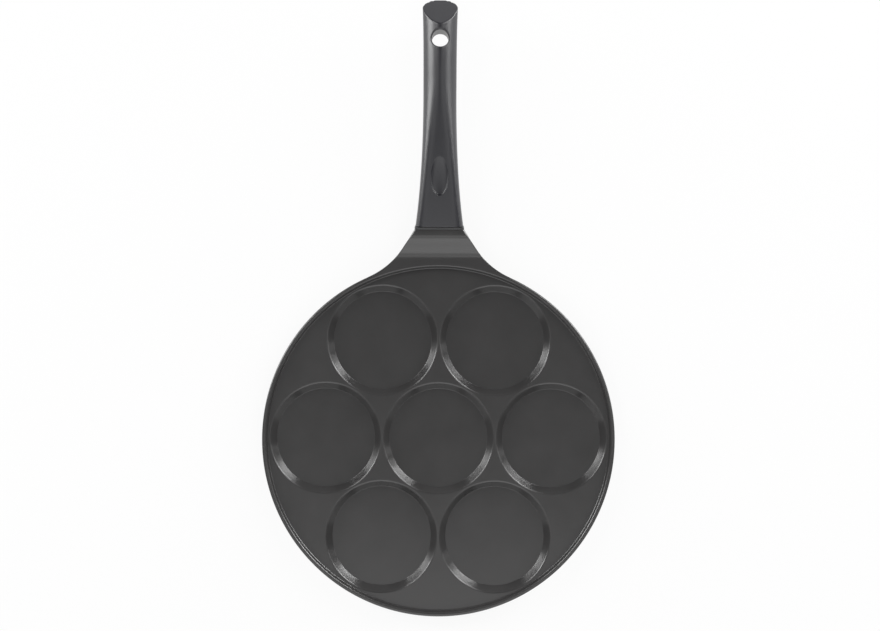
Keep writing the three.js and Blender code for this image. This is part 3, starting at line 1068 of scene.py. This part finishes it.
@dataclass
class GripMoulding:
    """The arched handle: a level set in the joint's frame that a fine mesh settles on.

    A level takes rows of x, y and z in that frame and gives one signed distance a point.
    """

    joint: JointSizes
    finish: PhenolicMoulding = field(default_factory=PhenolicMoulding)
    length: float = 167.0
    shoulder_slope: float = 0.145
    shoulder_reach: float = 30.0
    waist_at: float = 97.0
    waist_width: float = 24.3
    waist_reach: float = 31.0
    tip_width: float = 26.5
    tip_slope: float = 0.055
    tip_reach: float = 18.0
    tip_rise: float = math.radians(4.0)
    tip_height: float = 16.5
    tip_cut: float = math.radians(38.5)
    joint_squareness: float = 5.0
    tip_squareness: float = 1.65
    ridge_at: float = 110.0
    belly_squareness: float = 2.6
    tip_belly_squareness: float = 2.0
    belly_share: float = 0.35
    hole_radius: float = 6.1
    hole_land: float = 4.5
    hole_lean: float = math.radians(3.0)
    dimple: Triple = (6.3, 15.0, 1.5)
    dimple_at: float = 37.8
    dimple_pitch: float = math.radians(2.0)
    tip_round: float = 0.5
    hole_round: float = 1.3
    dimple_round: float = 0.25
    end_round: float = 0.5
    pocket_round: float = 0.5
    spine_samples: int = 401
    spine_rounds: int = 4
    side_samples: int = 120
    voxel: float = 0.7
    settle_rounds: int = 6
    steepness_floor: float = 0.2
    probe: float = 0.01

    def __post_init__(self) -> None:
        """Draws the spine and the side once, as tables."""
        half, fall = self.length / 2, self.joint.rise - self.tip_rise
        start = np.array((self.joint.seam, 0.0))
        bend = start + (half, 0.0)
        self.spine = np.array((start, bend, bend + (half * math.cos(fall), -half * math.sin(fall))))
        self.turns = np.linspace(0.0, 1.0, self.spine_samples)
        places = self._on_spine(self.turns)
        steps = np.linalg.norm(np.diff(places, axis=0), axis=1)
        self.runs = self.length * np.concatenate(((0.0,), np.cumsum(steps))) / steps.sum()
        self.side = self._side_table()

    def _on_spine(self, turn: np.ndarray) -> np.ndarray:
        """Points of the spine, as distances along and up, at shares of its curve."""
        weights = np.stack(((1 - turn) ** 2, 2 * turn * (1 - turn), turn**2), axis=-1)
        return weights @ self.spine

    def _spine_slope(self, turn: np.ndarray) -> np.ndarray:
        """The spine's direction, not of unit length, at shares of its curve."""
        legs = np.diff(self.spine, axis=0)
        return 2 * ((1 - turn)[..., None] * legs[0] + turn[..., None] * legs[1])

    def _side_table(self) -> np.ndarray:
        """Draws half the outline in plan: one curve from the joint to the waist and one to the tip.

        Returns:
            Rows of distance and half width.
        """
        joint, waist, tip = self.joint.width / 2, self.waist_width / 2, self.tip_width / 2
        shoulder = (self.shoulder_reach, joint - self.shoulder_slope * self.shoulder_reach)
        middle = (self.waist_at, waist)
        swell = (self.length - self.tip_reach, tip - self.tip_slope * self.tip_reach)
        first = ((0.0, joint), shoulder, (self.waist_at - self.waist_reach, waist), middle)
        second = (middle, ((self.waist_at + self.length) / 2, waist), swell, (self.length, tip))
        share = np.linspace(0.0, 1.0, self.side_samples)[:, None]
        rest = 1 - share
        weights = np.hstack((rest**3, 3 * share * rest**2, 3 * share**2 * rest, share**3))
        return np.vstack((weights @ np.array(first), (weights @ np.array(second))[1:]))

    def height_at(self, distance: Number) -> Number:
        """The handle's height at a distance from the joint."""
        return self.joint.height + (self.tip_height - self.joint.height) * distance / self.length

    def frame_at(self, distance: float) -> tuple[np.ndarray, np.ndarray, np.ndarray]:
        """The frame at a distance along the handle.

        Args:
            distance: From the joint.

        Returns:
            The place on the spine and the directions along it and up out of the back.
        """
        turn = np.array(np.interp(distance, self.runs, self.turns))
        slope = self._spine_slope(turn)
        along = slope / np.linalg.norm(slope)
        return self._on_spine(turn), along, np.array((-along[1], along[0]))

    def grip_level(self, points: np.ndarray) -> np.ndarray:
        """Measures from the plain grip, without its ends and hollows.

        Args:
            points: The points, each of which is first brought to its nearest place on the spine.

        Returns:
            The level, positive outside.
        """
        flat = points[:, 1:]
        turn = share_between(flat[:, 0], self.joint.seam, self.joint.seam + self.length)
        curve = 2 * np.diff(self.spine, n=2, axis=0)[0]
        for _ in range(self.spine_rounds):
            off, slope = self._on_spine(turn) - flat, self._spine_slope(turn)
            turn = turn - (off * slope).sum(1) / ((slope * slope).sum(1) + off @ curve)
        off, slope = flat - self._on_spine(turn), self._spine_slope(turn)
        along = slope / np.linalg.norm(slope, axis=1)[:, None]
        rise = off[:, 1] * along[:, 0] - off[:, 0] * along[:, 1]
        distance = np.interp(turn, self.turns, self.runs)
        return self._section_level(np.abs(points[:, 0]), rise, distance)

    def _section_level(self, across: np.ndarray, rise: np.ndarray, distance: np.ndarray) -> np.ndarray:
        """Measures from a section: a back that goes from square to ridged, over a flatter belly.

        Args:
            across: The distances from the middle plane.
            rise: The heights over the spine.
            distance: The distances along the spine.

        Returns:
            The level, positive outside.
        """
        height = self.height_at(distance)
        belly = self.belly_share * height
        share = smooth_step(distance, 0.0, self.ridge_at)
        back = self.joint_squareness + (self.tip_squareness - self.joint_squareness) * share
        under = self.belly_squareness + (self.tip_belly_squareness - self.belly_squareness) * share
        lift = rise - (belly - height / 2)
        power = np.where(lift >= 0, back, under)
        reach = np.where(lift >= 0, height - belly, belly)
        half = np.interp(distance, self.side[:, 0], self.side[:, 1])
        wide, tall = across / half, np.abs(lift) / reach
        total = np.maximum(wide**power + tall**power, TINY)
        size = total ** (1 / power)
        slope = np.hypot(wide ** (power - 1) / half, tall ** (power - 1) / reach) * size / total
        return (size - 1) / np.maximum(slope, TINY)

    def tip_level(self, points: np.ndarray) -> np.ndarray:
        """Measures past the slanted end.

        Args:
            points: The points.

        Returns:
            The level, positive past the end.
        """
        place, along, up = self.frame_at(self.length)
        foot = place - up * self.tip_height / 2
        return (points[:, 1:] - foot) @ (along * math.sin(self.tip_cut) + up * math.cos(self.tip_cut))

    def hole_level(self, points: np.ndarray) -> np.ndarray:
        """Measures into the hanging hole.

        Args:
            points: The points.

        Returns:
            The level, positive in the hole.
        """
        setback = self.tip_height / math.tan(self.tip_cut)
        place, along, up = self.frame_at(self.length - setback - self.hole_land - self.hole_radius)
        beside = along * math.cos(self.hole_lean) - up * math.sin(self.hole_lean)
        return self.hole_radius - np.hypot(points[:, 0], (points[:, 1:] - place) @ beside)

    def dimple_level(self, points: np.ndarray) -> np.ndarray:
        """Measures into the oval hollow for the thumb.

        Args:
            points: The points.

        Returns:
            The level, positive in the hollow.
        """
        place, along, up = self.frame_at(self.dimple_at)
        off = points[:, 1:] - (place + up * self.height_at(self.dimple_at) / 2)
        tilt, lift = math.cos(self.dimple_pitch), math.sin(self.dimple_pitch)
        length, depth = off @ (along * tilt + up * lift), off @ (up * tilt - along * lift)
        shares = np.stack((points[:, 0], length, depth), axis=1) / self.dimple
        size = np.maximum(np.linalg.norm(shares, axis=1), TINY)
        return (1 - size) * size / np.maximum(np.linalg.norm(shares / self.dimple, axis=1), TINY)

    def socket_level(self, points: np.ndarray) -> np.ndarray:
        """Measures into the socket for the tang.

        Args:
            points: The points.

        Returns:
            The level, positive in the socket.
        """
        joint = self.joint
        corner = joint.tang_corner + joint.gap
        middle, depth = (joint.tang_top + joint.tang_bottom) / 2, (joint.tang_top - joint.tang_bottom) / 2
        spread = np.abs(points[:, ::2] - (0.0, middle))
        spread -= (joint.tang_width / 2 + joint.gap - corner, depth + joint.gap - corner)
        across = np.linalg.norm(np.maximum(spread, 0.0), axis=1) + np.minimum(spread.max(1), 0.0) - corner
        return -np.maximum(across, points[:, 1] - joint.seam - joint.tang_length - joint.gap)

    def screw_level(self, points: np.ndarray, radius: float, top: float) -> np.ndarray:
        """Measures into an upright bore at the screw, up to a level."""
        out = np.hypot(points[:, 0], points[:, 1] - self.joint.screw_y)
        return -np.maximum(out - radius, points[:, 2] - top)

    def level(self, points: np.ndarray) -> np.ndarray:
        """Measures from the whole moulding.

        Args:
            points: The points.

        Returns:
            The level, positive outside.
        """
        joint = self.joint
        level = self.grip_level(points)
        for cut, width in (
            (self.tip_level(points), self.tip_round),
            (self.hole_level(points), self.hole_round),
            (self.dimple_level(points), self.dimple_round),
            (joint.seam - points[:, 1], self.end_round),
            (self.socket_level(points), self.pocket_round),
            (self.screw_level(points, joint.screw_hole, joint.tang_bottom), self.pocket_round),
            (self.screw_level(points, joint.counterbore, joint.washer_seat), self.pocket_round),
        ):
            level = smooth_max(level, cut, width)
        return level

    def slope(self, points: np.ndarray) -> np.ndarray:
        """Finds the level's gradient, by a small step each way.

        Args:
            points: The points.

        Returns:
            Rows of x, y and z.
        """
        columns = []
        for axis in np.eye(3) * self.probe:
            columns.append((self.level(points + axis) - self.level(points - axis)) / (2 * self.probe))
        return np.stack(columns, axis=1)

    def rough_mesh(self) -> bpy.types.Mesh:
        """Remeshes a copy of the frame's handle into small even faces.

        Returns:
            The rough mesh, in metres.
        """
        rough = linked("rough_grip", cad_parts["handle"].data.copy())
        grid = rough.modifiers.new("grid", "REMESH")
        grid.mode = "VOXEL"
        grid.voxel_size = self.voxel * MM
        mesh, spent = settled_mesh(rough), rough.data
        bpy.data.objects.remove(rough)
        bpy.data.meshes.remove(spent)
        return mesh

    def build(self) -> bpy.types.Object:
        """Makes and dresses the handle.

        Returns:
            The piece.
        """
        mesh = self.rough_mesh()
        mesh.transform(self.joint.matrix.inverted() @ Matrix.Scale(1 / MM, 4))
        points = np.zeros(len(mesh.vertices) * 3, np.float32)
        mesh.vertices.foreach_get("co", points)
        points = points.reshape(-1, 3).astype(float)
        for _ in range(self.settle_rounds):
            slope = self.slope(points)
            step = self.level(points) / np.maximum((slope * slope).sum(1), self.steepness_floor)
            points -= np.clip(step, -self.voxel, self.voxel)[:, None] * slope
        normals = self.slope(points)
        normals /= np.linalg.norm(normals, axis=1)[:, None]
        mesh.vertices.foreach_set("co", points.astype(np.float32).ravel())
        mesh.transform(Matrix.Scale(MM, 4) @ self.joint.matrix)
        mesh.shade_smooth()
        turned = normals @ np.array(self.joint.matrix.to_3x3()).T
        mesh.normals_split_custom_set_from_vertices(turned.tolist())
        mesh.name = "handle_grip"
        return dressed(linked("handle_grip", mesh), "handle", self.finish.material())


# Small pieces of the joint


@dataclass
class JointHardware:
    """The heat shield plate, the screw and its two washers."""

    joint: JointSizes
    blackened: PlainSteel = PlainSteel("blackened_steel", (0.06, 0.06, 0.061), 0.45, 0.3)
    zinc: PlainSteel = PlainSteel("zinc_steel", (0.55, 0.55, 0.57), 0.3)
    segments: int = 48
    corner_steps: int = 6
    plate_round: float = 2.6
    edge: float = 0.25
    air: float = 0.05
    head_round: float = 1.0
    head_middle: float = 0.05
    thread_pitch: float = 0.8
    thread_depth: float = 0.42
    thread_clear: float = 0.02
    thread_steps: int = 8
    recess_reach: float = 2.7
    recess_width: float = 1.1
    recess_depth: float = 1.5
    recess_taper: float = 0.6
    spring_lift: float = 0.12
    crease: float = 35.0

    def _fitted(self, body: Solid, name: str, node: str, finish: PlainSteel) -> bpy.types.Object:
        """Sets a body in the joint and dresses it as a piece."""
        piece = body.placed(self.joint.matrix).piece(name, self.crease)
        return dressed(piece, node, finish.material())

    def shield(self) -> bpy.types.Object:
        """Makes and dresses the thin plate between neck and handle.

        Returns:
            The piece.
        """
        joint = self.joint
        half, rise = joint.width / 2 + joint.shield_proud, joint.height / 2 + joint.shield_proud
        front, back, edge = self.air, joint.seam - self.air, self.edge
        rings = []
        for inset, y in ((edge, front), (0.0, front + edge), (0.0, back - edge), (edge, back)):
            across, up = (inset - half, half - inset), (inset - rise, rise - inset)
            section = rounded_rectangle(across, up, self.plate_round - inset, self.corner_steps)
            rings.append(standing(section, y))
        wide = joint.tang_width / 2 + joint.gap
        window = (joint.tang_bottom - joint.gap, joint.tang_top + joint.gap)
        section = rounded_rectangle((-wide, wide), window, joint.tang_corner + joint.gap, self.corner_steps)
        rings += [standing(section, y) for y in (back, front)]
        plate = Solid(Shape.skinned(rings, looped=True))
        return self._fitted(plate, "heat_shield", "heat_shield_plate", self.blackened)

    def _turned_ring(self, radius: float, z: float, wave: float = 0.0) -> Ring:
        """Draws one ring of the screw.

        Args:
            radius: The ring's radius.
            z: Its level.
            wave: The depth of the thread there.

        Returns:
            The ring, with the thread's crest running round it.
        """
        ring = []
        for i in range(self.segments):
            angle = 2 * math.pi * i / self.segments
            share = (z / self.thread_pitch - i / self.segments) % 1.0
            r = radius - wave * (1 - abs(2 * share - 1))
            ring.append((r * math.cos(angle), r * math.sin(angle) + self.joint.screw_y, z))
        return ring

    def _blank(self) -> Solid:
        """Turns the screw: its head below and its threaded shank above.

        Returns:
            The screw without a recess, in the joint's frame.
        """
        joint = self.joint
        flat = joint.head_radius - self.head_round
        head = Outline(self.head_middle, joint.head_bottom).line(flat, joint.head_bottom)
        low = (flat, joint.head_bottom + self.head_round)
        head.bend(low, self.head_round, (-QUARTER, 0.0), self.corner_steps)
        head.line(joint.head_radius, joint.head_top).line(joint.screw_radius, joint.head_top)
        rings = [self._turned_ring(r, z) for r, z in head.points]
        shank = joint.tang_top - joint.head_top
        count = round(shank / self.thread_pitch * self.thread_steps)
        for i in range(1, count + 1):
            fade = min(1.0, (i / self.thread_steps) ** 2, (count - i) / self.thread_steps)
            radius, z = joint.screw_radius - self.thread_clear, joint.head_top + shank * i / count
            rings.append(self._turned_ring(radius, z, self.thread_depth * fade))
        return Solid(Shape.skinned(rings))

    def screw(self) -> bpy.types.Object:
        """Makes and dresses the screw, with a cross recess in its head.

        Returns:
            The piece.
        """
        body = self._blank()
        wide, deep = self.recess_width / 2, self.recess_depth
        narrow = wide * self.recess_taper
        section = [(-wide, -deep), (wide, -deep), (narrow, deep), (-narrow, deep)]
        place = Matrix.Translation((0.0, self.joint.screw_y, self.joint.head_bottom))
        ends = (-self.recess_reach, self.recess_reach)
        for turn in (0.0, QUARTER):
            bar = Solid(Shape.skinned([standing(section, y) for y in ends]))
            body = body - bar.placed(place @ Matrix.Rotation(turn + QUARTER / 2, 4, "Z"))
        return self._fitted(body, "handle_screw_turned", "handle_screw", self.zinc)

    def _washer_section(self, outer: float, thickness: float, bottom: float) -> Plan:
        """Draws the cross-section of a washer with broken edges.

        Args:
            outer: The washer's radius.
            thickness: Its thickness.
            bottom: The level of its lower face.

        Returns:
            Points of radius and height.
        """
        inner, top, cut = self.joint.screw_hole, bottom + thickness, self.edge / 2
        return [
            (inner, bottom + cut), (inner + cut, bottom), (outer - cut, bottom), (outer, bottom + cut),
            (outer, top - cut), (outer - cut, top), (inner + cut, top), (inner, top - cut),
        ]

    def flat_washer(self) -> bpy.types.Object:
        """Makes and dresses the plain washer.

        Returns:
            The piece.
        """
        joint = self.joint
        section = self._washer_section(joint.washer_radius, joint.washer_thickness, joint.washer_bottom)
        profile = Outline(*section[0])
        for r, z in section[1:]:
            profile.line(r, z)
        ring = Solid(Shape.revolved(profile, self.segments, looped=True).moved(0.0, joint.screw_y))
        return self._fitted(ring, "flat_washer_ring", "flat_washer", self.zinc)

    def spring_washer(self) -> bpy.types.Object:
        """Makes and dresses the split washer, whose ends spring a little apart.

        Returns:
            The piece.
        """
        joint = self.joint
        section = self._washer_section(joint.spring_radius, joint.spring_thickness, joint.spring_bottom)
        gap = joint.spring_split / joint.spring_radius
        rings = []
        for i in range(self.segments + 1):
            share = i / self.segments
            angle = QUARTER + gap / 2 + (2 * math.pi - gap) * share
            lift = self.spring_lift * (2 * share - 1)
            across, along = math.cos(angle), math.sin(angle)
            rings.append([(r * across, r * along + joint.screw_y, z + lift) for r, z in section])
        coil = Solid(Shape.skinned(rings))
        return self._fitted(coil, "spring_washer_coil", "spring_washer", self.zinc)

    def build(self) -> list[bpy.types.Object]:
        """Makes every small piece and gives them in order."""
        return [self.shield(), self.screw(), self.spring_washer(), self.flat_washer()]


# Studio


@dataclass(frozen=True)
class Softbox:
    """A rectangular lamp that faces the object; angles are in degrees and lengths in metres."""

    name: str
    azimuth: float
    elevation: float
    width: float
    height: float
    radiance: float
    distance: float = 2.0

    def build(self, target: Vector) -> bpy.types.Object:
        """Hangs the lamp.

        Args:
            target: The point that it faces, in metres.

        Returns:
            The lamp.
        """
        data = bpy.data.lights.new(self.name, "AREA")
        data.shape = "RECTANGLE"
        data.size, data.size_y = self.width, self.height
        data.energy = self.radiance * math.pi * self.width * self.height
        lamp = linked(self.name, data)
        turn, lift = math.radians(self.azimuth), math.radians(self.elevation)
        out = Vector((math.cos(turn) * math.cos(lift), math.sin(turn) * math.cos(lift), math.sin(lift)))
        lamp.location = target + out * self.distance
        lamp.rotation_euler = out.to_track_quat("Z", "Y").to_euler()
        lamp.visible_camera = False
        return lamp


@dataclass
class Studio:
    """A white floor, soft lamps and a dim world, in metres."""

    target: Vector = field(default_factory=lambda: Vector((0.0, 0.08, 0.02)))
    floor_radius: float = 12.0
    floor_sides: int = 96
    floor_drop: float = 0.0003
    cove_run: float = 3.0
    cove_rise: float = 1.0
    cove_steps: int = 12
    floor_colour: Triple = (0.86, 0.86, 0.86)
    floor_white: float = 0.9
    shadow_reach: Pair = (0.9, 2.2)
    world_strength: float = 0.09
    softboxes: tuple[Softbox, ...] = (
        Softbox("front_box", -90.0, 27.0, 1.5, 1.55, 0.81),
        Softbox("front_wide_box", -90.0, 42.0, 1.6, 2.6, 0.93),
        Softbox("front_top_fill", -90.0, 74.0, 1.2, 0.36, 0.35),
        Softbox("front_left_box", -135.0, 55.0, 0.73, 0.85, 0.7),
        Softbox("front_right_box", -45.0, 55.0, 0.73, 0.85, 0.39),
        Softbox("front_left_low_fill", -135.0, 8.0, 1.29, 0.49, 1.85),
        Softbox("front_right_low_fill", -45.0, 8.0, 1.29, 0.49, 1.55),
        Softbox("left_low_strip", 150.0, 6.0, 1.4, 0.28, 9.6),
        Softbox("left_box", 159.0, 20.0, 0.55, 0.75, 9.3),
        Softbox("left_high_box", 143.0, 43.0, 0.6, 0.75, 6.2),
        Softbox("left_top_fill", 180.0, 67.0, 0.6, 0.6, 1.0),
        Softbox("right_low_strip", 43.0, 6.0, 1.0, 0.28, 20.0),
        Softbox("right_box", 32.0, 20.0, 0.9, 0.75, 6.6),
        Softbox("right_high_box", 44.0, 43.0, 0.9, 0.75, 4.6),
        Softbox("right_top_fill", 0.0, 67.0, 0.6, 0.6, 1.25),
        Softbox("left_narrow_box", 171.0, 20.0, 0.3, 0.75, 2.5),
        Softbox("right_narrow_box", 9.0, 20.0, 0.3, 0.75, 3.5),
        Softbox("back_low_fill", 90.0, 8.0, 1.2, 0.4, 0.5),
        Softbox("top_fill", -90.0, 86.0, 1.2, 0.9, 0.2),
    )

    def _floor_shape(self) -> Shape:
        """Draws the floor, whose far edge curves up so that a low view doesn't see past it.

        Returns:
            The floor with its faces upward.
        """
        outline = Outline(self.floor_radius / 2, 0.0)
        middle, reach = (self.floor_radius, self.cove_rise), (self.cove_run, self.cove_rise)
        outline.arc(middle, reach, (-QUARTER, 0.0), self.cove_steps)
        cove = Shape.revolved(outline, self.floor_sides).moved(0.0, 0.0, -self.floor_drop)
        cove.faces = [face[::-1] for face in cove.faces]
        cove.faces.append(tuple(range(self.floor_sides)))
        return cove

    def _floor_material(self) -> bpy.types.Material:
        """Builds the floor's white, which shows the object's shadow where the floor is near.

        Returns:
            The finished material.
        """
        material, graph = fresh_graph("studio_floor")
        near, far = self.shadow_reach
        span = {
            "Value": graph.length(graph.place()),
            "From Min": near,
            "From Max": far,
            "To Min": self.floor_white,
            "To Max": 1.0,
        }
        share = graph.node("ShaderNodeMapRange", {"interpolation_type": "SMOOTHSTEP"}, span)["Result"]
        path = graph.node("ShaderNodeLightPath")
        seen = path["Is Camera Ray"].larger(path["Is Glossy Ray"]).larger(path["Is Transmission Ray"])
        matt = graph.node("ShaderNodeBsdfDiffuse", {}, {"Color": (*self.floor_colour, 1.0)})["BSDF"]
        white = graph.node("ShaderNodeEmission", {}, {"Color": WHITE, "Strength": 1.0})["Emission"]
        graph.surface(graph.node("ShaderNodeMixShader", {}, {0: seen * share, 1: matt, 2: white})["Shader"])
        return material

    def floor(self) -> bpy.types.Object:
        """Lays the floor.

        Returns:
            The floor.
        """
        mesh = self._floor_shape().mesh("studio_floor")
        mesh.materials.append(self._floor_material())
        ground = linked("studio_floor", mesh)
        return ground

    def world(self) -> None:
        """Fills the room with a dim even light."""
        world = bpy.data.worlds.new("studio_world")
        bpy.context.scene.world = world
        world.use_nodes = True
        graph = Graph(world.node_tree)
        light = {"Color": WHITE, "Strength": self.world_strength}
        dim = graph.node("ShaderNodeBackground", {}, light)["Background"]
        graph.node("ShaderNodeOutputWorld", {}, {"Surface": dim})

    def build(self) -> None:
        """Sets the studio up around the object."""
        self.floor()
        self.world()
        for box in self.softboxes:
            box.build(self.target)
        LOG.info("studio: %d softboxes", len(self.softboxes))


@dataclass(frozen=True)
class PhotoCamera:
    """The camera of the photograph, almost straight above the pan; its place is in millimetres."""

    place: Vector = field(default_factory=lambda: Vector((0.772, 52.557, 900.0)))
    pitch: float = math.radians(2.458)
    roll: float = math.radians(0.258)
    focal_px: float = 1198.65
    sensor: float = 36.0

    def build(self) -> bpy.types.Object:
        """Sets the scene's camera up.

        Returns:
            The camera.
        """
        data = bpy.data.cameras.new("photo_camera")
        data.sensor_fit = "HORIZONTAL"
        data.sensor_width = self.sensor
        data.lens = self.focal_px * self.sensor / PHOTO_WIDTH
        camera = linked("photo_camera", data)
        tilt = Matrix.Rotation(self.pitch, 4, "X") @ Matrix.Rotation(self.roll, 4, "Z")
        camera.matrix_world = Matrix.Translation(self.place * MM) @ tilt
        bpy.context.scene.camera = camera
        return camera


def main() -> None:
    """Builds the object, the studio and the camera in order."""
    logging.basicConfig(level=logging.INFO, format="%(name)s: %(message)s")
    bpy.context.scene.view_settings.view_transform = "Standard"
    plate = PlateSizes()
    joint = JointSizes(plate)
    PhotoCamera().build()
    PanCasting(plate, joint).build()
    GripMoulding(joint).build()
    JointHardware(joint).build()
    Studio().build()


if __name__ == "__main__":
    main()
